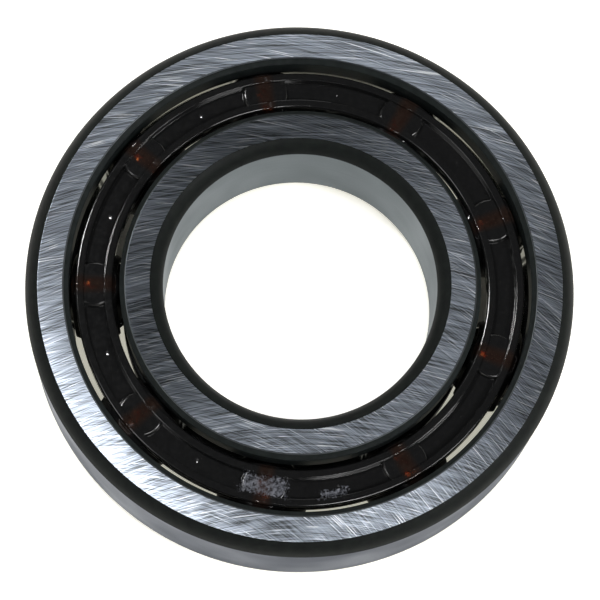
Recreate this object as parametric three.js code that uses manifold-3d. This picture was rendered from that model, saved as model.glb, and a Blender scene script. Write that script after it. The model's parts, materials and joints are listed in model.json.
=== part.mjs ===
// Open single-row deep groove ball bearing, 40 mm bore, 80 mm outside diameter, 18 mm wide.
//
// Millimetres. +Z is the bearing's axis and the origin is its centre, half way between the two side
// faces. The closed side of the moulded cage looks towards +Z.
//
// Twelve separate pieces: an outer ring, an inner ring, a one-piece snap cage and nine balls.

import * as THREE from "three";
import { mergeVertices } from "three/addons/utils/BufferGeometryUtils.js";
import Module from "manifold-3d";

// ---- Driving dimensions -------------------------------------------------------------------------

const BORE_RADIUS = 20;
const OUTSIDE_RADIUS = 40;
const WIDTH = 18;
const HALF_WIDTH = WIDTH / 2;

const BALL_COUNT = 9;
const BALL_RADIUS = 6;
const PITCH_RADIUS = (BORE_RADIUS + OUTSIDE_RADIUS) / 2;
const BALL_STEP = (2 * Math.PI) / BALL_COUNT;
const FIRST_BALL_ANGLE = BALL_STEP / 2;

// The raceways are arcs a little wider than the ball, as deep as the ball plus a running clearance.
const RACEWAY_RADIUS = 1.04 * BALL_RADIUS;
const RACEWAY_CLEARANCE = 0.08;

// Mounting corners, where the rings meet the housing and the shaft. Fullness is 0 for a straight
// chamfer and 1 for a corner that runs smoothly into both of the faces beside it.
const MOUNT_CORNER_RADIAL = 1.9;
const MOUNT_CORNER_AXIAL = 2;
const MOUNT_CORNER_FULLNESS = 0.45;

// Shoulders beside the raceways, and the chamfer between each shoulder and its side face.
const OUTER_SHOULDER_RADIUS = 33.65;
const INNER_SHOULDER_RADIUS = 26.3;
const SHOULDER_CHAMFER_RADIAL = 0.8;
const SHOULDER_CHAMFER_AXIAL = 0.7;

// Cage: a flat annulus over the balls. Round each ball hangs a pocket shell, a little wider than the
// annulus, that ends in a pair of snap horns reaching down each side of the ball.
const CAGE_INNER_RADIUS = 27.4;
const CAGE_OUTER_RADIUS = 32.75;
const CAGE_TOP = 7;
const ANNULUS_UNDERSIDE = 4.4;
const POCKET_RADIUS = BALL_RADIUS + 0.15;
const SHELL_THICKNESS = 0.6;
const SHELL_INNER_RADIUS = 26.85;
const SHELL_OUTER_RADIUS = 33.4;
const SHELL_TOP = 5.8;
const HORN_TIP = -2.6;

// A shallow channel runs round the top of the annulus, with a low round pad in it over each ball.
const RIM_WIDTH = 1.2;
const CHANNEL_FLOOR = 5.9;
const PAD_TOP = 6.6;
const PAD_RADIUS = 3.2;

// How finely the round shapes are divided.
const RING_SEGMENTS = 72;
const RACEWAY_SEGMENTS = 8;
const CORNER_SEGMENTS = 3;
const BALL_SEGMENTS = 20;
const BALL_BANDS = 12;
const POCKET_SEGMENTS = 24;
const POCKET_BANDS = 12;
const SHELL_SEGMENTS = 20;
const SHELL_BANDS = 8;
const PAD_SEGMENTS = 20;

// Tolerances of the solid modelling: vertices closer than the first are one, and a cutting tool runs
// past the face that it opens by the second.
const WELD_DISTANCE = 1e-4;
const CUT_OVERRUN = 1;

// ---- Materials ----------------------------------------------------------------------------------

function ringSteel() {
  return new THREE.MeshStandardMaterial({ color: 0x9aa1ab, roughness: 0.35, metalness: 1 });
}

function ballSteel() {
  return new THREE.MeshStandardMaterial({ color: 0xd8dade, roughness: 0.06, metalness: 1 });
}

function blackPolyamide() {
  return new THREE.MeshStandardMaterial({ color: 0x15130f, roughness: 0.3, metalness: 0 });
}

// ---- Shape helpers ------------------------------------------------------------------------------

// Turns a closed outline of [radius, height] points round the Z axis.
function turned(outline, segments = RING_SEGMENTS) {
  const points = [...outline, outline[0]].map(([radius, height]) => new THREE.Vector2(radius, height));
  const geometry = new THREE.LatheGeometry(points, segments);
  geometry.rotateX(Math.PI / 2);
  return geometry;
}

// The outline of a plain ring of rectangular section, anticlockwise.
function rectangle(innerRadius, outerRadius, bottom, top) {
  return [
    [innerRadius, bottom],
    [outerRadius, bottom],
    [outerRadius, top],
    [innerRadius, top],
  ];
}

// Points along a raceway groove, cut by `side` +1 outwards or -1 inwards, from one shoulder to the
// other. The arc's centre sits on the far side of the pitch circle from the groove's floor.
function raceway(shoulderRadius, side) {
  const floorRadius = PITCH_RADIUS + side * (BALL_RADIUS + RACEWAY_CLEARANCE);
  const centreRadius = floorRadius - side * RACEWAY_RADIUS;
  const reach = Math.acos((side * (shoulderRadius - centreRadius)) / RACEWAY_RADIUS);
  return Array.from({ length: RACEWAY_SEGMENTS + 1 }, (_, index) => {
    const angle = reach * ((2 * index) / RACEWAY_SEGMENTS - 1);
    return [centreRadius + side * RACEWAY_RADIUS * Math.cos(angle), RACEWAY_RADIUS * Math.sin(angle)];
  });
}

// Points along a mounting corner on the +Z side, from the side face to the fitting surface.
function mountCorner(mountRadius, side) {
  const face = new THREE.Vector2(mountRadius - side * MOUNT_CORNER_RADIAL, HALF_WIDTH);
  const mount = new THREE.Vector2(mountRadius, HALF_WIDTH - MOUNT_CORNER_AXIAL);
  const sharp = new THREE.Vector2(mountRadius, HALF_WIDTH);
  const control = face.clone().lerp(mount, 0.5).lerp(sharp, MOUNT_CORNER_FULLNESS);
  const curve = new THREE.QuadraticBezierCurve(face, control, mount);
  return curve.getPoints(CORNER_SEGMENTS).map((point) => [point.x, point.y]);
}

// The outline of a bearing ring: `mountRadius` is its fitting surface, and its raceway is cut
// towards `side`. The ring is the same either way up, so its lower half mirrors its upper half.
function ringOutline(mountRadius, shoulderRadius, side) {
  const upperHalf = [
    [shoulderRadius, HALF_WIDTH - SHOULDER_CHAMFER_AXIAL],
    [shoulderRadius + side * SHOULDER_CHAMFER_RADIAL, HALF_WIDTH],
    ...mountCorner(mountRadius, side),
  ];
  const lowerHalf = upperHalf.map(([radius, height]) => [radius, -height]).reverse();
  return [...raceway(shoulderRadius, side), ...upperHalf, ...lowerHalf];
}

// The centre of ball number `index`, counted from zero.
function ballCentre(index) {
  const angle = FIRST_BALL_ANGLE + index * BALL_STEP;
  return new THREE.Vector3(PITCH_RADIUS * Math.cos(angle), PITCH_RADIUS * Math.sin(angle), 0);
}

// ---- Solid modelling ----------------------------------------------------------------------------

const wasm = await Module();
wasm.setup();

// A closed three.js geometry as a solid that can be joined and cut.
function solid(geometry) {
  const bare = geometry.clone();
  bare.deleteAttribute("normal");
  bare.deleteAttribute("uv");
  const merged = mergeVertices(bare, WELD_DISTANCE);
  return new wasm.Manifold(new wasm.Mesh({
    numProp: 3,
    vertProperties: new Float32Array(merged.attributes.position.array),
    triVerts: new Uint32Array(merged.index.array),
  }));
}

// A solid turned back into a three.js geometry.
function geometryOf(body) {
  const { vertProperties, triVerts } = body.getMesh();
  const geometry = new THREE.BufferGeometry();
  geometry.setAttribute("position", new THREE.BufferAttribute(new Float32Array(vertProperties), 3));
  geometry.setIndex(new THREE.BufferAttribute(new Uint32Array(triVerts), 1));
  geometry.computeVertexNormals();
  return geometry;
}

// Joins one copy of a geometry for each ball, moved to the ball's place and turned to face outwards.
function atEachBall(geometry) {
  let joined = null;
  for (let index = 0; index < BALL_COUNT; index += 1) {
    const centre = ballCentre(index);
    const copy = geometry.clone();
    copy.rotateZ(Math.atan2(centre.y, centre.x));
    copy.translate(centre.x, centre.y, 0);
    joined = joined ? joined.add(solid(copy)) : solid(copy);
  }
  return joined;
}

// A sphere whose poles lie on the X axis, so that its bands run round the radial direction.
function radialSphere(radius, segments, bands) {
  const sphere = new THREE.SphereGeometry(radius, segments, bands);
  sphere.rotateZ(Math.PI / 2);
  return sphere;
}

// ---- Pieces -------------------------------------------------------------------------------------

// The raceway is on the inside, so the outline runs clockwise until it is reversed.
function outerRing() {
  return turned(ringOutline(OUTSIDE_RADIUS, OUTER_SHOULDER_RADIUS, 1).reverse());
}

function innerRing() {
  return turned(ringOutline(BORE_RADIUS, INNER_SHOULDER_RADIUS, -1));
}

// The space above the channel's floor. Each pad is a disc that stands on the floor and that the
// channel's walls cut off on two sides.
function cageChannel() {
  const innerWall = CAGE_INNER_RADIUS + RIM_WIDTH;
  const outerWall = CAGE_OUTER_RADIUS - RIM_WIDTH;
  const trench = solid(turned(rectangle(innerWall, outerWall, CHANNEL_FLOOR, CAGE_TOP + CUT_OVERRUN)));
  const padHeight = PAD_TOP - CHANNEL_FLOOR + CUT_OVERRUN;
  const disc = new THREE.CylinderGeometry(PAD_RADIUS, PAD_RADIUS, padHeight, PAD_SEGMENTS);
  disc.rotateX(Math.PI / 2);
  disc.translate(0, 0, PAD_TOP - padHeight / 2);
  return trench.subtract(atEachBall(disc));
}

// Shells round the balls, cut to their radial width, to a flat ledge above and to the horns' flat tips.
function pocketShells() {
  const sleeve = solid(turned(rectangle(SHELL_INNER_RADIUS, SHELL_OUTER_RADIUS, HORN_TIP, SHELL_TOP)));
  const shell = radialSphere(POCKET_RADIUS + SHELL_THICKNESS, SHELL_SEGMENTS, SHELL_BANDS);
  return sleeve.intersect(atEachBall(shell));
}

function cage() {
  const flat = rectangle(CAGE_INNER_RADIUS, CAGE_OUTER_RADIUS, ANNULUS_UNDERSIDE, CAGE_TOP);
  const annulus = solid(turned(flat));
  const pockets = atEachBall(radialSphere(POCKET_RADIUS, POCKET_SEGMENTS, POCKET_BANDS));
  return geometryOf(annulus.add(pocketShells()).subtract(cageChannel()).subtract(pockets));
}

// Each ball's poles point along the bearing's axis, which is also the axis it rolls about.
function ball() {
  const geometry = new THREE.SphereGeometry(BALL_RADIUS, BALL_SEGMENTS, BALL_BANDS);
  geometry.rotateX(Math.PI / 2);
  return geometry;
}

// ---- Assembly -----------------------------------------------------------------------------------

function piece(name, geometry, material) {
  const mesh = new THREE.Mesh(geometry, material);
  mesh.name = name;
  return mesh;
}

const bearing = new THREE.Group();
bearing.add(piece("outer_ring", outerRing(), ringSteel()));
bearing.add(piece("inner_ring", innerRing(), ringSteel()));
bearing.add(piece("cage", cage(), blackPolyamide()));
for (let index = 0; index < BALL_COUNT; index += 1) {
  const mesh = piece(`ball_${index + 1}`, ball(), ballSteel());
  mesh.position.copy(ballCentre(index));
  bearing.add(mesh);
}

export default bearing;
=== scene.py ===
"""Looks for an open deep groove ball bearing: smooth rings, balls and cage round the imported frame.

Lengths inside this script are millimetres, and become metres where a mesh, lamp or camera is made.
Z is the bearing's axis, its centre is the origin, and the cage's closed side looks up.
"""

import json
import math

import bmesh
import bpy
from mathutils import Matrix, Vector

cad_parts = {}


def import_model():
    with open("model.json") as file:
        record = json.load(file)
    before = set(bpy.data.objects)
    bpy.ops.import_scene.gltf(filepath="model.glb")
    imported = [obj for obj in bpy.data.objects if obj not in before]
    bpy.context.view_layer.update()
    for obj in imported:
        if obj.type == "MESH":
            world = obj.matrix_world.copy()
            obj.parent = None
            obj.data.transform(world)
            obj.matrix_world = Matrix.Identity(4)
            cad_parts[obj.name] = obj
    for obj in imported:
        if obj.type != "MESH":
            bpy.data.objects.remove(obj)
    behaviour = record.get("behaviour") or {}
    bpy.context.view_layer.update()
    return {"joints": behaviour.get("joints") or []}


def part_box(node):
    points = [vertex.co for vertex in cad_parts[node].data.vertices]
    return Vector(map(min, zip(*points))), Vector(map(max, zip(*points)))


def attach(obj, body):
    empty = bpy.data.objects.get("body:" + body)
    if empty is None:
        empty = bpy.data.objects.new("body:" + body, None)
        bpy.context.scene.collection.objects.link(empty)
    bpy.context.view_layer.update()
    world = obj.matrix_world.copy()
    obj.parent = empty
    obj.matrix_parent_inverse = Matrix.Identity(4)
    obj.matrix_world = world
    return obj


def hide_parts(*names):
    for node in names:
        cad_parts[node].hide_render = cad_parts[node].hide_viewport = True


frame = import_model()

MM = 0.001
OUTSIDE_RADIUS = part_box("outer_ring")[1].x / MM
HALF_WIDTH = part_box("outer_ring")[1].z / MM
INNER_SHOULDER_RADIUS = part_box("inner_ring")[1].x / MM
CAGE_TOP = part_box("cage")[1].z / MM
HORN_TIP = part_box("cage")[0].z / MM
BALL_RADIUS = (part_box("ball_1")[1].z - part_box("ball_1")[0].z) / 2 / MM
BALL_CENTRES = {
    joint["child"]: Vector(joint["pos_m"]) / MM
    for joint in frame["joints"]
    if joint["child"].startswith("ball_")
}
PITCH_RADIUS = BALL_CENTRES["ball_1"].length
FIRST_BALL_ANGLE = math.atan2(BALL_CENTRES["ball_1"].y, BALL_CENTRES["ball_1"].x)
BALL_STEP = 2 * math.pi / len(BALL_CENTRES)
BORE_RADIUS = 2 * PITCH_RADIUS - OUTSIDE_RADIUS

# The CAD design's other dimensions. Only the clearance differs: smooth raceways can come closer to the
# balls than faceted ones.
OUTER_SHOULDER_RADIUS = 33.65
RACEWAY_RADIUS = 1.04 * BALL_RADIUS
RACEWAY_CLEARANCE = 0.02
MOUNT_CORNER = (1.9, 2.0)
MOUNT_CORNER_FULLNESS = 0.45
SHOULDER_CHAMFER = (0.8, 0.7)
CAGE_INNER_RADIUS = 27.4
CAGE_OUTER_RADIUS = 32.75
RIM_WIDTH = 1.2
ANNULUS_UNDERSIDE = 4.4
CHANNEL_FLOOR = 5.9
PAD_TOP = 6.6
POCKET_RADIUS = BALL_RADIUS + 0.15
SHELL_RADIUS = POCKET_RADIUS + 0.6
SHELL_INNER_RADIUS = 26.85
SHELL_OUTER_RADIUS = 33.4
SHELL_TOP = 5.8


# ---- Mesh building ------------------------------------------------------------------------------

def bend(start, corner, end, t):
    """The point at t, from 0 to 1, on a curve from start to end that bends towards the corner."""
    return start * (1 - t) ** 2 + corner * 2 * t * (1 - t) + end * t ** 2


def rounded(corners, steps=4, guard=0.03):
    """Rounds an open outline. Each corner is (x, y, radius, finish of the stretch that follows).

    A corner with no radius is kept as a point. Beside each arc there is a guard point, so that
    smooth shading doesn't spill from the arc on to the flat.
    """
    outline = []
    for index, (x, y, radius, finish) in enumerate(corners):
        corner = Vector((x, y))
        if radius == 0 or index in (0, len(corners) - 1):
            outline.append((corner, finish))
            continue
        before = Vector(corners[index - 1][:2]) - corner
        after = Vector(corners[index + 1][:2]) - corner
        turn = math.pi - before.angle(after)
        reach = radius * math.tan(turn / 2)
        start = corner + before.normalized() * reach
        end = corner + after.normalized() * reach
        outline.append((start + before.normalized() * guard, corners[index - 1][3]))
        for step in range(steps + 1):
            t = step / steps
            outline.append((bend(start, corner, end, t), corners[index - 1][3] if t < 0.5 else finish))
        outline.append((end + after.normalized() * guard, finish))
    return outline


def new_piece(name, vertices, faces, finishes, materials):
    """A smooth-shaded mesh object in metres. finishes gives each face's material by name."""
    mesh = bpy.data.meshes.new(name)
    mesh.from_pydata([Vector(vertex) * MM for vertex in vertices], [], faces)
    order = list(materials)
    for material in materials.values():
        mesh.materials.append(material)
    for polygon, finish in zip(mesh.polygons, finishes):
        polygon.material_index = order.index(finish)
    mesh.shade_smooth()
    piece = bpy.data.objects.new(name, mesh)
    bpy.context.scene.collection.objects.link(piece)
    return piece


def lathe(name, outline, materials, segments, closed=True):
    """Turns an outline of ((radius, height), finish) round the Z axis.

    A closed outline runs back from its last point to its first.
    """
    vertices = []
    faces = []
    finishes = []
    count = len(outline)
    stretches = outline if closed else outline[:-1]
    for segment in range(segments):
        angle = 2 * math.pi * segment / segments
        for point, _ in outline:
            vertices.append((point.x * math.cos(angle), point.x * math.sin(angle), point.y))
        for index, (_, finish) in enumerate(stretches):
            following = (index + 1) % count
            here = segment * count
            there = ((segment + 1) % segments) * count
            faces.append((here + index, there + index, there + following, here + following))
            finishes.append(finish)
    return new_piece(name, vertices, faces, finishes, materials)


CREASE_ANGLE = math.radians(40)


def tidy(piece, merge_distance=0.0005):
    """Welds the seams between patches, points every face outwards and keeps real creases sharp."""
    mesh = piece.data
    welded = bmesh.new()
    welded.from_mesh(mesh)
    bmesh.ops.remove_doubles(welded, verts=welded.verts, dist=merge_distance * MM)
    bmesh.ops.dissolve_degenerate(welded, edges=welded.edges, dist=merge_distance * MM)
    bmesh.ops.recalc_face_normals(welded, faces=welded.faces)
    welded.to_mesh(mesh)
    welded.free()
    mesh.set_sharp_from_angle(angle=CREASE_ANGLE)


# ---- Node helpers -------------------------------------------------------------------------------

class Shader:
    """Adds nodes to one material. Inputs are given by name, as values or as other nodes' outputs."""

    def __init__(self, name):
        self.material = bpy.data.materials.new(name)
        self.material.use_nodes = True
        self.tree = self.material.node_tree
        self.surface = self.tree.nodes["Principled BSDF"]
        self.output = self.tree.nodes["Material Output"]

    def add(self, kind, inputs=None, **settings):
        node = self.tree.nodes.new("ShaderNode" + kind)
        for key, value in settings.items():
            setattr(node, key, value)
        for key, value in (inputs or {}).items():
            self.feed(node.inputs[key], value)
        return node

    def feed(self, socket, value):
        if isinstance(value, bpy.types.NodeSocket):
            self.tree.links.new(value, socket)
        else:
            socket.default_value = value

    def set(self, **inputs):
        for key, value in inputs.items():
            self.feed(self.surface.inputs[key.replace("_", " ")], value)

    def math(self, operation, *values):
        return self.add("Math", dict(enumerate(values)), operation=operation).outputs[0]

    def vector(self, operation, *values):
        node = self.add("VectorMath", dict(enumerate(values)), operation=operation)
        return node.outputs["Value" if operation == "LENGTH" else "Vector"]

    def place(self):
        """The point being shaded, in millimetres in the piece's own frame."""
        source = self.add("TexCoord").outputs["Object"]
        return self.vector("MULTIPLY", source, (1 / MM, 1 / MM, 1 / MM))

    def split(self, vector):
        return self.add("SeparateXYZ", {"Vector": vector}).outputs

    def join(self, x=0.0, y=0.0, z=0.0):
        return self.add("CombineXYZ", {"X": x, "Y": y, "Z": z}).outputs[0]

    def polar(self, x, y):
        """Distance from the Z axis, and angle about it."""
        return self.vector("LENGTH", self.join(x, y)), self.math("ARCTAN2", y, x)

    def noise(self, vector, scale=1.0, detail=2.0, roughness=0.5):
        inputs = {"Vector": vector, "Scale": scale, "Detail": detail, "Roughness": roughness}
        return self.add("TexNoise", inputs).outputs["Fac"]

    def remap(self, value, low, high, to_low=0.0, to_high=1.0, smooth=False):
        inputs = {"Value": value, "From Min": low, "From Max": high, "To Min": to_low, "To Max": to_high}
        kind = "SMOOTHSTEP" if smooth else "LINEAR"
        return self.add("MapRange", inputs, interpolation_type=kind).outputs["Result"]

    def mix(self, factor, first, second):
        """Mixes colours. The node's sockets share their names, so its colour ones go by number."""
        inputs = {"Factor": factor, 6: first, 7: second}
        return self.add("Mix", inputs, data_type="RGBA").outputs[2]

    def bump(self, height, depth):
        """Height is 0 to 1, and depth is in millimetres."""
        inputs = {"Height": height, "Distance": depth * MM, "Strength": 1.0}
        return self.add("Bump", inputs).outputs["Normal"]

    def world_direction(self, vector):
        """A direction in the piece's own frame, turned into the world's."""
        node = self.add("VectorTransform", {"Vector": vector}, vector_type="VECTOR",
                        convert_from="OBJECT", convert_to="WORLD")
        return node.outputs[0]


# ---- Materials ----------------------------------------------------------------------------------

# Noise mostly stays within the first range, and seldom leaves the second.
MOST_NOISE = (0.35, 0.65)
NEARLY_ALL_NOISE = (0.3, 0.7)

# Colours, as red, green, blue and alpha. Tones in a pair are the surface's darkest and lightest. A
# grazing colour tints the reflection at a glancing angle.
GROUND_TONES = ((0.08, 0.088, 0.09, 1), (0.52, 0.58, 0.68, 1))
GLINT_COLOUR = (0.95, 0.98, 1.0, 1)
BURNISHED_TONES = ((0.05, 0.056, 0.06, 1), (0.10, 0.11, 0.12, 1))
FITTED_TONES = ((0.26, 0.28, 0.30, 1), (0.36, 0.38, 0.41, 1))
# Painted shade: the outside darkens towards these tones where it is seen at a glancing angle.
OUTSIDE_GLANCING_SHADE_TONES = ((0.006, 0.008, 0.014, 1), (0.012, 0.014, 0.022, 1))
OUTSIDE_GRAZING_COLOUR = (0.80, 0.83, 0.89, 1)
# Painted shade: the bore darkens towards these tones where it is seen at a glancing angle.
BORE_GLANCING_SHADE_TONES = ((0.075, 0.088, 0.092, 1), (0.098, 0.112, 0.117, 1))
BORE_GRAZING_COLOUR = (0.82, 0.85, 0.88, 1)
SHOULDER_TONES = ((0.007, 0.009, 0.009, 1), (0.012, 0.015, 0.015, 1))
CORNER_TONES = ((0.004, 0.005, 0.005, 1), (0.007, 0.009, 0.008, 1))
OUTER_TRACK_COLOUR = (0.72, 0.72, 0.70, 1)
# Painted shade: the inner track's colour is much darker than the outer track's.
INNER_TRACK_SHADED_COLOUR = (0.16, 0.165, 0.17, 1)
BALL_COLOUR = (0.72, 0.73, 0.75, 1)
BALL_GRAZING_COLOUR = (1, 1, 1, 1)
GREASE_COLOUR = (0.06, 0.06, 0.06, 1)
GREASE_GRAZING_COLOUR = (0.2, 0.2, 0.2, 1)
PLASTIC_TONES = ((0.0055, 0.0056, 0.0057, 1), (0.009, 0.009, 0.0092, 1))
# Partly the thin web's own brown and partly a painted glow of light coming through it.
WEB_BROWN_AND_GLOW_COLOUR = (0.06, 0.025, 0.012, 1)
# Partly real scuffing and partly a painted reflection.
SCUFF_AND_REFLECTION_COLOUR = (0.12, 0.125, 0.148, 1)
AMBER = (0.90, 0.46, 0.24, 1)
FLOOR_TONES = ((0.88, 0.87, 0.82, 1), (0.90, 0.89, 0.84, 1))
# Painted shade: the glow under the bearing is dimmer and warmer than in the open.
SHADED_GLOW_COLOUR_UNDER_BEARING = (1.0, 0.98, 0.82, 1)
OPEN_GLOW_COLOUR = (1.0, 0.99, 0.96, 1)

# Roughness of each surface at its smoothest and roughest, and what grease and mattness add to it.
GROUND_ROUGHNESS = (0.285, 0.33)
FITTED_ROUGHNESS = (0.3, 0.4)
HONED_ROUGHNESS = (0.08, 0.16)
BALL_ROUGHNESS = (0.03, 0.08)
PLASTIC_ROUGHNESS = (0.07, 0.14)
ADDED_BY_GREASE = 0.2
ADDED_BY_MATTNESS = 0.35

# The grinding wheel crosses each side face in long arcs. The finest lay and the scratches that can
# be seen in it were cut in different passes, so their arcs have different centres.
OUTER_FACE_LAY = (20, -70)
INNER_FACE_LAY = (-40, -50)
SCRATCH_ARCS = (0, -88)
CROSSING_ARCS = (-24, -66)

# Each set of scratches: the centre of its arcs, the scratches' spacing and length, and their weight in
# the tone.
MAIN_SCRATCHES = (SCRATCH_ARCS, 0.17, 9, 0.45)
BROAD_SCRATCHES = (SCRATCH_ARCS, 0.5, 16, 0.2)
CROSSING_SCRATCHES = (CROSSING_ARCS, 0.18, 10, 0.35)

# The tone runs from dark to light over the first range of the sets' sum. A single set glints over its
# own range, which moves a little from place to place, so that the glints come in clusters.
SCRATCH_RANGE = (0.41, 0.59)
MAIN_GLINT_RANGE = (0.63, 0.69)
CROSSING_GLINT_RANGE = (0.64, 0.70)
CLUSTERING = (-0.05, 0.05)


def arc_frame(shader, place, centre):
    """Distance across circles about a far centre, distance along them, and the direction across."""
    away = shader.vector("SUBTRACT", place, (*centre, 0))
    x, y, _ = shader.split(away)
    flat = shader.join(x, y)
    across = shader.vector("LENGTH", flat)
    along = shader.math("MULTIPLY", shader.math("ARCTAN2", x, y), math.hypot(*centre))
    return across, along, shader.vector("NORMALIZE", flat)


def arc_lines(shader, place, centre, spacing, length):
    """Noise drawn out along circles about a far centre. Its third coordinate sets the pattern."""
    across, along, _ = arc_frame(shader, place, centre)
    stretched = shader.join(shader.math("MULTIPLY", across, 1 / spacing),
                            shader.math("MULTIPLY", along, 1 / length), centre[0])
    return shader.noise(stretched, detail=2, roughness=0.6)


def ground_face(name, lay_centre):
    """Side faces: fine ground lay, with two crossing sets of scratches on long arcs.

    The roughness stays high enough for the picture's noise filter to keep the scratches.
    """
    shader = Shader(name)
    place = shader.place()
    _, _, across_lay = arc_frame(shader, place, lay_centre)
    sets = (MAIN_SCRATCHES, BROAD_SCRATCHES, CROSSING_SCRATCHES)
    main, broad, crossing = [arc_lines(shader, place, *scratches[:3]) for scratches in sets]
    weighted = [shader.math("MULTIPLY", lines, scratches[3])
                for lines, scratches in zip((main, broad, crossing), sets)]
    lines = shader.math("ADD", shader.math("ADD", weighted[0], weighted[1]), weighted[2])
    cluster = shader.remap(shader.noise(place, scale=0.3, detail=1), *MOST_NOISE, *CLUSTERING)
    main_glint = shader.remap(shader.math("ADD", main, cluster), *MAIN_GLINT_RANGE, smooth=True)
    crossing_glint = shader.remap(shader.math("SUBTRACT", crossing, cluster),
                                  *CROSSING_GLINT_RANGE, smooth=True)
    glint = shader.math("MAXIMUM", main_glint, crossing_glint)
    tone = shader.mix(shader.remap(lines, *SCRATCH_RANGE), *GROUND_TONES)
    cloud = shader.noise(place, scale=0.16, detail=2)
    shader.set(Base_Color=shader.mix(glint, tone, GLINT_COLOUR), Metallic=1.0, Anisotropic=1.0,
               Roughness=shader.remap(shader.math("ADD", lines, cloud), 0.7, 1.3, *GROUND_ROUGHNESS),
               Tangent=shader.world_direction(across_lay),
               Normal=shader.bump(lines, depth=0.02))
    return shader.material


def burnished_edge():
    """The narrow rounded edge between a ground face and the shoulder's chamfer."""
    shader = Shader("burnished_edge")
    cloud = shader.noise(shader.place(), scale=0.8, detail=3)
    shader.set(Base_Color=shader.mix(cloud, *BURNISHED_TONES), Metallic=1.0, Roughness=0.3)
    return shader.material


HOOPS_PER_RADIAN = 2


def hoop_lines(shader, place, lines_per_mm, detail, roughness=0.5):
    """Noise drawn out into lines round the bearing's axis."""
    x, y, z = shader.split(place)
    _, angle = shader.polar(x, y)
    stretched = shader.join(shader.math("MULTIPLY", z, lines_per_mm),
                            shader.math("MULTIPLY", angle, HOOPS_PER_RADIAN))
    return shader.noise(stretched, detail=detail, roughness=roughness)


# How far a fitted surface turns away from the viewer, from 0 to 1, while its painted shade sets in.
GLANCING_SHADE_SETS_IN = (0.35, 0.68)


def fit_surface(name, glancing_shade_tones, grazing):
    """Bore and outside: cylindrical grinding, with fine lines round the axis.

    Painted shade darkens the steel to the shade tones given, where it is seen at a glancing angle.
    `grazing` tints the reflection along the very edge.
    """
    shader = Shader(name)
    place = shader.place()
    lines = hoop_lines(shader, place, lines_per_mm=7, detail=3, roughness=0.7)
    cloud = shader.noise(place, scale=0.08)
    grain = shader.remap(lines, *MOST_NOISE)
    facing = shader.add("LayerWeight", {"Blend": 0.5}).outputs["Facing"]
    glancing_shade = shader.remap(facing, *GLANCING_SHADE_SETS_IN, smooth=True)
    tone = shader.mix(glancing_shade, shader.mix(grain, *FITTED_TONES), shader.mix(grain, *glancing_shade_tones))
    shader.set(Base_Color=tone, Metallic=1.0, Anisotropic=0.6, Specular_Tint=grazing,
               Roughness=shader.remap(cloud, *MOST_NOISE, *FITTED_ROUGHNESS),
               Tangent=shader.world_direction(shader.join(0.0, 0.0, 1.0)),
               Normal=shader.bump(lines, depth=0.004))
    return shader.material


TURNING_MARKS_PER_MM = 9
TURNING_MARKS_PER_RADIAN = 3


def oxide(name, tones, roughness):
    """Turned and hardened steel that was never ground: dark scale over fine turning marks."""
    shader = Shader(name)
    place = shader.place()
    x, y, z = shader.split(place)
    radius, angle = shader.polar(x, y)
    stretched = shader.join(shader.math("MULTIPLY", radius, TURNING_MARKS_PER_MM),
                            shader.math("MULTIPLY", angle, TURNING_MARKS_PER_RADIAN),
                            shader.math("MULTIPLY", z, TURNING_MARKS_PER_MM))
    turning = shader.noise(stretched, detail=2)
    mottle = shader.remap(shader.noise(place, scale=0.9, detail=4), *NEARLY_ALL_NOISE)
    shader.set(Base_Color=shader.mix(mottle, *tones), Specular_IOR_Level=0.09,
               Roughness=shader.remap(turning, *NEARLY_ALL_NOISE, roughness - 0.06, roughness + 0.08),
               Normal=shader.bump(turning, depth=0.006))
    return shader.material


def raceway_steel(name, colour):
    """Honed track: close to a mirror, with faint lines in the rolling direction."""
    shader = Shader(name)
    lines = hoop_lines(shader, shader.place(), lines_per_mm=12, detail=2)
    shader.set(Base_Color=colour, Metallic=1.0,
               Roughness=shader.remap(lines, *NEARLY_ALL_NOISE, *HONED_ROUGHNESS),
               Normal=shader.bump(lines, depth=0.001))
    return shader.material


# Heights on a ball where the dark grease from the edges of its pocket starts, is thickest, thins out and
# ends.
GREASE_BAND = (1.8, 2.6, 4.6, 5.4)


def ball_steel():
    """Lapped balls: a mirror, with grease along the pocket's edges and a haze of it on top."""
    shader = Shader("lapped_ball")
    place = shader.place()
    _, _, z = shader.split(place)
    haze = shader.remap(shader.noise(place, scale=0.7, detail=3), *NEARLY_ALL_NOISE, *BALL_ROUGHNESS)
    start, full, fading, end = GREASE_BAND
    grease = shader.remap(z, start, full, smooth=True)
    band = shader.math("MULTIPLY", grease, shader.remap(z, fading, end, 1.0, 0.0, smooth=True))
    shader.set(Base_Color=shader.mix(band, BALL_COLOUR, GREASE_COLOUR), Metallic=1.0,
               Specular_Tint=shader.mix(band, BALL_GRAZING_COLOUR, GREASE_GRAZING_COLOUR),
               Roughness=shader.math("ADD", haze, shader.math("MULTIPLY", grease, ADDED_BY_GREASE)),
               Normal=shader.bump(shader.noise(place, scale=14, detail=2), depth=0.0004))
    return shader.material


# The thin web over each ball fades out between these distances sideways from the ball's middle, and
# fades in between these heights. It lets this share of the light straight through.
WEB_HALF_WIDTH = (0.4, 1.7)
WEB_HEIGHT = (5.4, 5.9)
WEB_CLEARNESS = (0.08, 0.5)

# The plastic is matt below the first height and glossy above the second.
GLOSS_SETS_IN = (4.6, 5.6)
GLOSSY_TO_MATT_SPECULAR = (0.5, 0.1)

# Places on the cage's top that are scuffed matt and painted paler as a reflection: first and last angle
# in degrees about the bearing's axis, and least and greatest radius.
SCUFFS = ((253.4, 266.8, 28.6, 31.6), (275.0, 283.0, 30.2, 31.6))
SCUFF_FADE = 0.6
SPECKLE_RANGE = (0.36, 0.62)


def within(shader, value, low, high):
    """How far inside the range from low to high a value is. It is negative outside."""
    off_middle = shader.math("ABSOLUTE", shader.math("SUBTRACT", value, (low + high) / 2))
    return shader.math("SUBTRACT", (high - low) / 2, off_middle)


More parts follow.
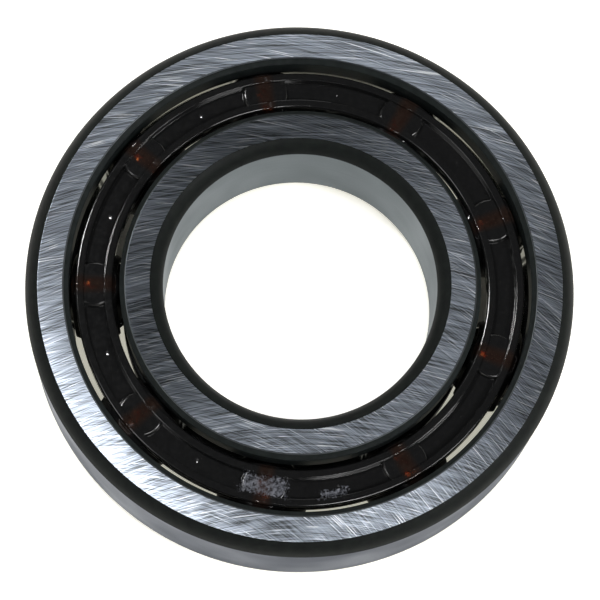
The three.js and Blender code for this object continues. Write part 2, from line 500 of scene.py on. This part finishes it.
def scuffed(shader, place, radius, angle):
    """How scuffed the cage is here, from 0 to 1, with a ragged edge. The same mask places a painted
    reflection.
    """
    ragged = shader.remap(shader.noise(place, scale=2.6, detail=3), *NEARLY_ALL_NOISE,
                          -SCUFF_FADE, SCUFF_FADE)
    degrees = shader.math("FLOORED_MODULO", shader.math("MULTIPLY", angle, math.degrees(1)), 360)
    total = 0
    for first, last, least, greatest in SCUFFS:
        along = shader.math("MULTIPLY", within(shader, degrees, first, last), math.radians(PITCH_RADIUS))
        inside = shader.math("MINIMUM", along, within(shader, radius, least, greatest))
        worn = shader.remap(shader.math("ADD", inside, ragged), 0, SCUFF_FADE, smooth=True)
        total = shader.math("ADD", total, worn)
    return total


def web_thinness(shader, angle, z):
    """1 on the thin web over each ball, falling to 0 elsewhere."""
    turned = shader.math("SUBTRACT", angle, FIRST_BALL_ANGLE - BALL_STEP / 2)
    sector = shader.math("SUBTRACT", shader.math("FLOORED_MODULO", turned, BALL_STEP), BALL_STEP / 2)
    sideways = shader.math("ABSOLUTE", shader.math("MULTIPLY", sector, PITCH_RADIUS))
    across = shader.remap(sideways, *WEB_HALF_WIDTH, 1.0, 0.0, smooth=True)
    return shader.math("MULTIPLY", across, shader.remap(z, *WEB_HEIGHT, smooth=True))


def cage_plastic():
    """Glossy black polyamide. The web over each ball is thin, and lets amber light through."""
    shader = Shader("black_polyamide")
    place = shader.place()
    x, y, z = shader.split(place)
    radius, angle = shader.polar(x, y)
    thin = web_thinness(shader, angle, z)
    cloud = shader.noise(place, scale=1.6, detail=3)
    grain = shader.noise(place, scale=6, detail=3, roughness=0.7)
    speckle = shader.remap(shader.noise(place, scale=1.7, detail=4, roughness=0.75), *SPECKLE_RANGE)
    scuff_and_reflection = shader.math("MULTIPLY", scuffed(shader, place, radius, angle), speckle)
    # Over each ball the tint is partly the thin plastic's own brown and partly a painted glow.
    brown_and_glow = shader.mix(shader.math("MULTIPLY", thin, 0.2), shader.mix(cloud, *PLASTIC_TONES), WEB_BROWN_AND_GLOW_COLOUR)
    gloss = shader.remap(cloud, *MOST_NOISE, *PLASTIC_ROUGHNESS)
    matt = shader.remap(z, *GLOSS_SETS_IN, 1.0, 0.0, smooth=True)
    dull = shader.math("MULTIPLY", shader.math("MAXIMUM", scuff_and_reflection, matt), ADDED_BY_MATTNESS)
    height = shader.math("ADD", shader.math("MULTIPLY", grain, 0.15), shader.math("MULTIPLY", scuff_and_reflection, 0.9))
    # The scuffs' pale grey is partly real scuffing and partly a painted reflection.
    shader.set(Base_Color=shader.mix(scuff_and_reflection, brown_and_glow, SCUFF_AND_REFLECTION_COLOUR),
               Specular_IOR_Level=shader.remap(matt, 0, 1, *GLOSSY_TO_MATT_SPECULAR),
               Roughness=shader.math("ADD", gloss, dull),
               Normal=shader.bump(height, depth=0.012))
    through = shader.add("BsdfTransparent", {"Color": AMBER})
    clear = shader.math("MULTIPLY", thin, shader.remap(cloud, *MOST_NOISE, *WEB_CLEARNESS))
    blend = shader.add("MixShader", {"Fac": clear, 1: shader.surface.outputs[0], 2: through.outputs[0]})
    shader.feed(shader.output.inputs["Surface"], blend.outputs[0])
    return shader.material


# ---- Rings --------------------------------------------------------------------------------------

RING_SEGMENTS = 288
RACEWAY_STEPS = 20
CORNER_STEPS = 6

# Radii of the rings' small rounded edges, and the reach of the burnished edge along each side of it.
TRACK_EDGE_ROUND = 0.15
SHOULDER_ROUND = 0.1
FACE_EDGE_ROUND = 0.08
FIT_EDGE_ROUND = 0.25
EDGE_REACH = 0.1


def raceway_points(shoulder_radius, side):
    """The groove's arc from its upper edge to its lower edge, cut outwards for side +1."""
    floor_radius = PITCH_RADIUS + side * (BALL_RADIUS + RACEWAY_CLEARANCE)
    centre_radius = floor_radius - side * RACEWAY_RADIUS
    reach = math.acos(side * (shoulder_radius - centre_radius) / RACEWAY_RADIUS)
    for step in range(RACEWAY_STEPS + 1):
        angle = reach * (1 - 2 * step / RACEWAY_STEPS)
        radius = centre_radius + side * RACEWAY_RADIUS * math.cos(angle)
        yield radius, RACEWAY_RADIUS * math.sin(angle)


def corner_points(mount_radius, side):
    """The mounting corner's gentle curve, from the side face down to the fitting surface."""
    face = Vector((mount_radius - side * MOUNT_CORNER[0], HALF_WIDTH))
    mount = Vector((mount_radius, HALF_WIDTH - MOUNT_CORNER[1]))
    sharp = Vector((mount_radius, HALF_WIDTH))
    control = face.lerp(mount, 0.5).lerp(sharp, MOUNT_CORNER_FULLNESS)
    for step in range(CORNER_STEPS + 1):
        yield bend(face, control, mount, step / CORNER_STEPS)


def ring_outline(mount_radius, shoulder_radius, side):
    """The upper half of a ring's outline from the raceway's middle outwards, then its mirror image."""
    corner = list(corner_points(mount_radius, side))
    shoulder_edge = HALF_WIDTH - SHOULDER_CHAMFER[1]
    face_edge = shoulder_radius + side * SHOULDER_CHAMFER[0]
    edge_drop = EDGE_REACH * SHOULDER_CHAMFER[1] / SHOULDER_CHAMFER[0]
    track = [point for point in raceway_points(shoulder_radius, side) if point[1] >= 0][::-1]
    upper = [(radius, height, 0, "track") for radius, height in track[:-1]]
    upper += [(*track[-1], TRACK_EDGE_ROUND, "shoulder"),
              (shoulder_radius, shoulder_edge, SHOULDER_ROUND, "shoulder"),
              (face_edge - side * EDGE_REACH, HALF_WIDTH - edge_drop, 0, "edge"),
              (face_edge, HALF_WIDTH, FACE_EDGE_ROUND, "edge"),
              (face_edge + side * EDGE_REACH, HALF_WIDTH, 0, "face"),
              (*corner[0], FACE_EDGE_ROUND, "corner")]
    upper += [(*point, 0, "corner") for point in corner[1:-1]]
    upper += [(*corner[-1], FIT_EDGE_ROUND, "fit"), (mount_radius, 0, 0, "fit")]
    half = rounded(upper)
    mirrored = [(Vector((point.x, -point.y)), half[index - 1][1])
                for index, (point, _) in enumerate(half) if 0 < index < len(half) - 1]
    return half + mirrored[::-1]


def ring(name, body, mount_radius, shoulder_radius, side, materials):
    outline = ring_outline(mount_radius, shoulder_radius, side)
    piece = lathe(name, outline, materials, RING_SEGMENTS)
    tidy(piece)
    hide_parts(body)
    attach(piece, body)


# ---- Balls --------------------------------------------------------------------------------------

BALL_CUTS = 20


def ball_piece(body, centre, material):
    """A ball made from an evenly divided cube pushed out to the sphere, so that it has no poles."""
    mesh = bpy.data.meshes.new(body + "_lapped")
    shape = bmesh.new()
    bmesh.ops.create_cube(shape, size=2)
    bmesh.ops.subdivide_edges(shape, edges=shape.edges, cuts=BALL_CUTS, use_grid_fill=True)
    for vertex in shape.verts:
        even = Vector([math.tan(value * math.pi / 4) for value in vertex.co])
        vertex.co = even.normalized() * BALL_RADIUS * MM
    shape.to_mesh(mesh)
    shape.free()
    mesh.materials.append(material)
    mesh.shade_smooth()
    piece = bpy.data.objects.new(body + "_lapped", mesh)
    bpy.context.scene.collection.objects.link(piece)
    piece.location = centre * MM
    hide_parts(body)
    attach(piece, body)


# ---- Cage ---------------------------------------------------------------------------------------

# Radii of the annulus's outer edges, of the rims' inner edges and of the channel's corners. Then the
# lean of the channel's walls, and the number of rows across its floor.
EDGE_ROUND = 0.3
RIM_ROUND = 0.12
CHANNEL_ROUND = 0.07
WALL_DRAFT = 0.05
FLOOR_ROWS = 14

# Each dimple lies between two balls, and each scallop is where a rim dips over a ball.
DIMPLE_RADIUS = 0.5
DIMPLE_DEPTH = 0.08
DIMPLE_STEEPNESS = 1.2
SCALLOP_HALF_WIDTH = 0.9
SCALLOP_DEPTH = 0.1

# A pad's rounded edge falls away between these distances from its middle.
PAD_EDGE = (2.95, 3.4)

# Stations round the top: over a pad, down its edge, on to the dimple and across half of the dimple,
# which they start a little outside.
PAD_STEPS = 9
PAD_EDGE_STEPS = 7
BETWEEN_STEPS = 6
DIMPLE_STEPS = 4
DIMPLE_MARGIN = 1.1

# Radii of the shells' edges, of the horns' tips and of the junction between annulus and shell.
SHELL_ROUND = 0.15
TIP_ROUND = 0.3
JUNCTION_ROUND = 0.6

SHELL_ROUND_STEPS = 4
WALL_STEPS = 6
HALF_STEP = BALL_STEP / 2


def smoothstep(value):
    value = min(max(value, 0), 1)
    return value * value * (3 - 2 * value)


def turn_to(radius, sideways):
    """The angle about the bearing's axis to a point that far sideways from a ball's own radius."""
    return math.acos(1 - sideways ** 2 / (2 * radius * PITCH_RADIUS))


def sphere_angle(radius, sphere_radius, height):
    """How far round from a ball the cylinder of this radius meets a sphere about that ball."""
    sideways_squared = sphere_radius ** 2 - height ** 2 - (radius - PITCH_RADIUS) ** 2
    return turn_to(radius, math.sqrt(max(sideways_squared, 0)))


def cage_rows():
    """(radius, top height) for each row across the annulus, from its inside to its outside."""
    inner_wall = CAGE_INNER_RADIUS + RIM_WIDTH
    outer_wall = CAGE_OUTER_RADIUS - RIM_WIDTH
    floor_width = outer_wall - inner_wall - 2 * WALL_DRAFT
    channel = [(inner_wall + WALL_DRAFT + floor_width * step / FLOOR_ROWS, CHANNEL_FLOOR,
                CHANNEL_ROUND if step in (0, FLOOR_ROWS) else 0, None)
               for step in range(FLOOR_ROWS + 1)]
    corners = [(CAGE_INNER_RADIUS, CHANNEL_FLOOR, 0, None),
               (CAGE_INNER_RADIUS, CAGE_TOP, EDGE_ROUND, None),
               (inner_wall - WALL_DRAFT, CAGE_TOP, RIM_ROUND, None),
               *channel,
               (outer_wall + WALL_DRAFT, CAGE_TOP, RIM_ROUND, None),
               (CAGE_OUTER_RADIUS, CAGE_TOP, EDGE_ROUND, None),
               (CAGE_OUTER_RADIUS, CHANNEL_FLOOR, 0, None)]
    # The outermost two points at each end share their radius with the next one, which is higher.
    return [(point.x, point.y) for point, _ in rounded(corners, steps=3, guard=0.02)][2:-2]


def cage_top(radius, angle, profile_height):
    """The top's height: rims and channel from the profile, with the pads, scallops and dimples."""
    from_ball = math.sqrt(radius ** 2 + PITCH_RADIUS ** 2
                          - 2 * radius * PITCH_RADIUS * math.cos(angle))
    past_edge = (from_ball - PAD_EDGE[0]) / (PAD_EDGE[1] - PAD_EDGE[0])
    pad = math.sqrt(1 - min(max(past_edge, 0), 1) ** 2)
    height = max(profile_height, CHANNEL_FLOOR + (PAD_TOP - CHANNEL_FLOOR) * pad)
    from_gap = math.hypot(radius - PITCH_RADIUS, (HALF_STEP - angle) * radius)
    height -= DIMPLE_DEPTH * smoothstep(DIMPLE_STEEPNESS * (1 - from_gap / DIMPLE_RADIUS))
    if height > PAD_TOP:
        along = angle * radius / SCALLOP_HALF_WIDTH
        share = (height - PAD_TOP) / (CAGE_TOP - PAD_TOP)
        height -= SCALLOP_DEPTH * share * smoothstep(1 - along)
    return height


def spread(start, end, steps):
    """Evenly spaced values from just after the start up to the end."""
    return [start + (end - start) * step / steps for step in range(1, steps + 1)]


def top_angles(radius):
    """Angles from a ball to the middle of the gap, closest together where the top changes shape."""
    inside, outside = PAD_EDGE
    edge = []
    for step in range(PAD_EDGE_STEPS + 1):
        turn = step / PAD_EDGE_STEPS * math.pi / 2
        edge.append(sphere_angle(radius, inside + (outside - inside) * math.sin(turn), 0))
    over_pad = [edge[0] * step / PAD_STEPS for step in range(PAD_STEPS)]
    dimple = HALF_STEP - DIMPLE_MARGIN * DIMPLE_RADIUS / radius
    between = spread(edge[-1], dimple, BETWEEN_STEPS)
    return over_pad + edge + between + spread(dimple, HALF_STEP, DIMPLE_STEPS)


# For the pocket's wall and for the shell: the elevation in degrees, seen from the ball, of the last
# station over the top and of the first one after it.
POCKET_FAN = (55, 49)
SHELL_FAN = (62, 60)
UNDERSIDE_STEPS = 6
JUNCTION_STEPS = 4
SHANK_STEPS = 10
TIP_STEPS = 4
SHANK_TOP = ANNULUS_UNDERSIDE - JUNCTION_ROUND
SHANK_END = HORN_TIP + TIP_ROUND


def fan(widest, after_top, end):
    """Elevations seen from the ball, in degrees, for the stations of half a sector down to the shank.

    The stations over the top share out the fan from straight up to `widest`. Those of the underside
    and the junction share out the rest, down to `end`.
    """
    angles = top_angles(PITCH_RADIUS)
    lowest = math.degrees(math.atan2(CAGE_TOP, angles[-1] * PITCH_RADIUS))
    seen = [math.degrees(math.atan2(CAGE_TOP, angle * PITCH_RADIUS)) for angle in angles]
    over = [90 - (90 - widest) * (90 - value) / (90 - lowest) for value in seen]
    count = UNDERSIDE_STEPS + JUNCTION_STEPS
    return over + [after_top + (end - after_top) * step / (count - 1) for step in range(count)]


def shank(radius, shell, trim):
    """Points at one radius down the side of a sphere about the ball, ending in a rounded tip.

    The sphere's radius changes by `trim` over the tip's rounding.
    """
    points = []
    for step in range(1, SHANK_STEPS + 1):
        height = SHANK_TOP + (SHANK_END - SHANK_TOP) * step / SHANK_STEPS
        points.append((sphere_angle(radius, shell, height), height))
    for step in range(1, TIP_STEPS + 1):
        turn = step / TIP_STEPS * math.pi / 2
        height = SHANK_END - TIP_ROUND * math.sin(turn)
        points.append((sphere_angle(radius, shell + trim * (1 - math.cos(turn)), height), height))
    return points


def pocket_line(radius, inset=0):
    """Points (angle, height) down the pocket's wall, from over the ball to the horn's tip."""
    pocket = POCKET_RADIUS + inset
    crown = math.sqrt(pocket ** 2 - (radius - PITCH_RADIUS) ** 2)
    end = math.degrees(math.asin(SHANK_TOP / crown))
    heights = [crown * math.sin(math.radians(degrees)) for degrees in fan(*POCKET_FAN, end)]
    return [(sphere_angle(radius, pocket, height), height) for height in heights] \
        + shank(radius, pocket, TIP_ROUND)


def annulus_line(radius, profile_height):
    """Points along the top to the middle of the gap, back along the underside and down the horn."""
    points = [(angle, cage_top(radius, angle, profile_height)) for angle in top_angles(radius)]
    corner = Vector((sphere_angle(radius, SHELL_RADIUS, ANNULUS_UNDERSIDE), ANNULUS_UNDERSIDE))
    start = corner + Vector((JUNCTION_ROUND / radius, 0))
    end = Vector((sphere_angle(radius, SHELL_RADIUS, SHANK_TOP), SHANK_TOP))
    for step in range(UNDERSIDE_STEPS):
        t = step / (UNDERSIDE_STEPS - 1)
        points.append((HALF_STEP + (start.x - HALF_STEP) * t, ANNULUS_UNDERSIDE))
    for step in range(1, JUNCTION_STEPS + 1):
        points.append(tuple(bend(start, corner, end, step / JUNCTION_STEPS)))
    return points + shank(radius, SHELL_RADIUS, -TIP_ROUND)


def shell_line(radius, inset=0):
    """Points over the pocket shell's flat ledge, round its outside and down the horn."""
    shell = SHELL_RADIUS - inset
    ledge = SHELL_TOP - inset
    crown = math.sqrt(shell ** 2 - (radius - PITCH_RADIUS) ** 2)
    points = []
    for degrees in fan(*SHELL_FAN, math.degrees(math.asin(SHANK_TOP / crown))):
        rise = math.sin(math.radians(degrees))
        reach = min(crown, ledge / rise)
        points.append((turn_to(radius, reach * math.cos(math.radians(degrees))), reach * rise))
    return points + shank(radius, shell, -TIP_ROUND)


def shell_rows(annulus_edge, shell_edge):
    """(radius, inset) for the rows of a pocket shell that stand proud of the annulus."""
    side = 1 if shell_edge > annulus_edge else -1
    rows = [(annulus_edge, 0)]
    for step in range(SHELL_ROUND_STEPS + 1):
        turn = step / SHELL_ROUND_STEPS * math.pi / 2
        rows.append((shell_edge - side * SHELL_ROUND * (1 - math.sin(turn)),
                     SHELL_ROUND * (1 - math.cos(turn))))
    return rows


class Patchwork:
    """Collects quad patches of the cage, repeated for each ball and each side of it."""

    def __init__(self):
        self.vertices = []
        self.faces = []

    def patch(self, grid):
        """grid is rows of (radius, angle, height), all of one length."""
        for ball in range(len(BALL_CENTRES)):
            middle = FIRST_BALL_ANGLE + ball * BALL_STEP
            for side in (1, -1):
                start = len(self.vertices)
                width = len(grid[0])
                for row in grid:
                    for radius, angle, height in row:
                        turn = middle + side * angle
                        self.vertices.append((radius * math.cos(turn), radius * math.sin(turn), height))
                for row in range(len(grid) - 1):
                    for column in range(width - 1):
                        corner = start + row * width + column
                        quad = (corner, corner + 1, corner + width + 1, corner + width)
                        self.faces.append(quad if side == 1 else quad[::-1])

    def skin(self, lines):
        """A patch through lines of (angle, height) points, each given with its radius."""
        self.patch([[(radius, *point) for point in line] for radius, line in lines])

    def bridge(self, pairs):
        """A patch across the gap between pairs of points, each pair given with its radius."""
        self.patch([[(radius, a[0] + (b[0] - a[0]) * step / WALL_STEPS,
                      a[1] + (b[1] - a[1]) * step / WALL_STEPS) for step in range(WALL_STEPS + 1)]
                    for radius, a, b in pairs])

    def wall(self, radius, first, second):
        """A patch that fills the space between two lines at one radius."""
        self.bridge([(radius, a, b) for a, b in zip(first, second)])


def cage_piece(materials):
    annulus = [(radius, pocket_line(radius), annulus_line(radius, height))
               for radius, height in cage_rows()]
    inner_shell, outer_shell = [
        [(radius, pocket_line(radius, inset), shell_line(radius, inset))
         for radius, inset in shell_rows(annulus_edge, shell_edge)]
        for annulus_edge, shell_edge in ((CAGE_INNER_RADIUS, SHELL_INNER_RADIUS),
                                         (CAGE_OUTER_RADIUS, SHELL_OUTER_RADIUS))]
    whole = inner_shell[:0:-1] + annulus + outer_shell[1:]
    top_count = len(top_angles(PITCH_RADIUS))
    work = Patchwork()
    # The annulus's top, then its underside and the horns' outsides, then the pocket with the whole
    # width of the horns' insides, and the tips that join the two.
    work.skin([(radius, line[:top_count]) for radius, _, line in annulus])
    work.skin([(radius, line[top_count:]) for radius, _, line in annulus])
    work.skin([(radius, pocket) for radius, pocket, _ in whole])
    work.bridge([(radius, pocket[-1], line[-1]) for radius, pocket, line in whole])
    # Each shell's outside, the side of the annulus above it, and the shell's own side.
    for shell, edge in ((inner_shell, annulus[0]), (outer_shell, annulus[-1])):
        work.skin([(radius, line) for radius, _, line in shell])
        work.wall(edge[0], shell[0][2], edge[2])
        work.wall(*shell[-1])
    piece = new_piece("snap_cage", work.vertices, work.faces, ["cage"] * len(work.faces), materials)
    tidy(piece)
    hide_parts("cage")
    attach(piece, "cage")


# ---- Setting ------------------------------------------------------------------------------------

FLOOR_RADIUS = 900
FLOOR_SEGMENTS = 96
SWEEP_RADIUS = 250
SWEEP_HEIGHT = 420
SWEEP_STEPS = 12

# The floor's glow in the open and its dimmer glow under the bearing, which is painted shade, and the
# distances from the pitch circle between which it changes.
FLOOR_GLOW = 0.70
SHADED_GLOW_UNDER_BEARING = 0.45
COVER_EDGE = (9, 11)

# A ring of painted shade lies below the inner gap. Its edge fades between these distances from its
# middle, and its depth is the share of the glow that is left.
SHADE_RADIUS = 28.5
SHADE_EDGE = (1.1, 1.6)
SHADE_DEPTH = 0.03


def pale_floor():
    """Matt and pale. It glows, dimmed by painted shade under the bearing and nearly out below the inner
    gap.
    """
    shader = Shader("pale_floor")
    place = shader.place()
    x, y, _ = shader.split(place)
    radius, _ = shader.polar(x, y)
    cloud = shader.noise(place, scale=0.01)
    from_pitch = shader.math("ABSOLUTE", shader.math("SUBTRACT", radius, PITCH_RADIUS))
    open_floor = shader.remap(from_pitch, *COVER_EDGE, smooth=True)
    glow = shader.remap(open_floor, 0, 1, SHADED_GLOW_UNDER_BEARING, FLOOR_GLOW)
    from_shade = shader.math("ABSOLUTE", shader.math("SUBTRACT", radius, SHADE_RADIUS))
    unshaded = shader.remap(from_shade, *SHADE_EDGE, SHADE_DEPTH, 1.0, smooth=True)
    shader.set(Base_Color=shader.mix(cloud, *FLOOR_TONES), Roughness=0.8, Specular_IOR_Level=0.1,
               Emission_Color=shader.mix(open_floor, SHADED_GLOW_COLOUR_UNDER_BEARING, OPEN_GLOW_COLOUR),
               Emission_Strength=shader.math("MULTIPLY", glow, unshaded))
    return shader.material


def floor():
    """A round floor that sweeps up into a low wall."""
    outline = [(Vector((0, -HALF_WIDTH)), "floor")]
    for step in range(SWEEP_STEPS + 1):
        turn = step / SWEEP_STEPS * math.pi / 2
        radius = FLOOR_RADIUS + SWEEP_RADIUS * math.sin(turn)
        height = SWEEP_RADIUS * (1 - math.cos(turn)) - HALF_WIDTH
        outline.append((Vector((radius, height)), "floor"))
    outline.append((Vector((FLOOR_RADIUS + SWEEP_RADIUS, SWEEP_HEIGHT)), "floor"))
    piece = lathe("sweep_floor", outline, {"floor": pale_floor()}, FLOOR_SEGMENTS, closed=False)
    tidy(piece)


# Each lamp's name, azimuth and elevation in degrees, power in watts and size. Azimuth 0 is on the
# camera's side of the bearing, and 90 is towards +X.
LAMPS = (
    ("right", 60, 45, 1.60, 150),
    ("rear_low", 180, 30, 0.22, 150),
    ("left_high", 288, 60, 0.28, 150),
    ("left_front", 300, 45, 0.20, 100),
    ("left_top", 270, 73, 0.07, 150),
    ("sparkle", 33, 60, 0.62, 120),
    ("front", 18, 63, 0.38, 70),
    ("highlight", 228, 60, 1.55, 70),
    ("edge_front", 357, 72, 0.03, 12),
)
LAMP_DISTANCE = 600

WORLD_STRENGTH = 0.02
WORLD_COLOUR = (0.92, 0.96, 1, 1)

CAMERA_PLACE = Vector((-12.6, -94.3, 355.9))
CAMERA_TARGET = Vector((-0.14, -2.8, 9))
CAMERA_LENS = 148.9
SENSOR_WIDTH = 36
CLIP_NEAR = 1
CLIP_FAR = 10000


def lamp(name, azimuth, elevation, power, size):
    """A soft square lamp aimed at the bearing."""
    turn = math.radians(azimuth)
    lift = math.radians(elevation)
    level = math.cos(lift)
    direction = Vector((level * math.sin(turn), -level * math.cos(turn), math.sin(lift)))
    light = bpy.data.lights.new(name, "AREA")
    light.shape = "SQUARE"
    light.size = size * MM
    light.energy = power
    lamp_object = bpy.data.objects.new(name, light)
    lamp_object.location = direction * LAMP_DISTANCE * MM
    lamp_object.rotation_euler = direction.to_track_quat("Z", "Y").to_euler()
    bpy.context.scene.collection.objects.link(lamp_object)


def world():
    """Dim, even light from all round."""
    surroundings = bpy.data.worlds.new("surroundings")
    surroundings.use_nodes = True
    background = surroundings.node_tree.nodes["Background"]
    background.inputs["Color"].default_value = WORLD_COLOUR
    background.inputs["Strength"].default_value = WORLD_STRENGTH
    bpy.context.scene.world = surroundings


def camera():
    """Looks at the target with the frame's +Y up in the picture."""
    back = (CAMERA_PLACE - CAMERA_TARGET).normalized()
    right = Vector((0, 1, 0)).cross(back).normalized()
    up = back.cross(right)
    turned = Matrix((right, up, back)).transposed().to_4x4()
    lens_data = bpy.data.cameras.new("camera")
    lens_data.lens = CAMERA_LENS
    lens_data.sensor_width = SENSOR_WIDTH
    lens_data.clip_start = CLIP_NEAR * MM
    lens_data.clip_end = CLIP_FAR * MM
    viewer = bpy.data.objects.new("camera", lens_data)
    viewer.matrix_world = Matrix.Translation(CAMERA_PLACE * MM) @ turned
    bpy.context.scene.collection.objects.link(viewer)
    bpy.context.scene.camera = viewer


# ---- The scene ----------------------------------------------------------------------------------

def bearing_rings():
    shared = {
        "shoulder": oxide("dark_shoulder", SHOULDER_TONES, 0.45),
        "edge": burnished_edge(),
        "corner": oxide("dark_corner", CORNER_TONES, 0.5),
    }
    outer = {
        "track": raceway_steel("honed_raceway_outer", OUTER_TRACK_COLOUR),
        "face": ground_face("ground_face_outer", OUTER_FACE_LAY),
        "fit": fit_surface("ground_outside", OUTSIDE_GLANCING_SHADE_TONES, OUTSIDE_GRAZING_COLOUR),
    }
    inner = {
        "track": raceway_steel("honed_raceway_inner", INNER_TRACK_SHADED_COLOUR),
        "face": ground_face("ground_face_inner", INNER_FACE_LAY),
        "fit": fit_surface("ground_bore", BORE_GLANCING_SHADE_TONES, BORE_GRAZING_COLOUR),
    }
    ring("outer_ring_turned", "outer_ring", OUTSIDE_RADIUS, OUTER_SHOULDER_RADIUS, 1, shared | outer)
    ring("inner_ring_turned", "inner_ring", BORE_RADIUS, INNER_SHOULDER_RADIUS, -1, shared | inner)


def build():
    bearing_rings()
    lapped = ball_steel()
    for body, centre in BALL_CENTRES.items():
        ball_piece(body, centre, lapped)
    cage_piece({"cage": cage_plastic()})

    floor()
    world()
    for values in LAMPS:
        lamp(*values)
    camera()
    bpy.context.scene.view_settings.view_transform = "Standard"


build()
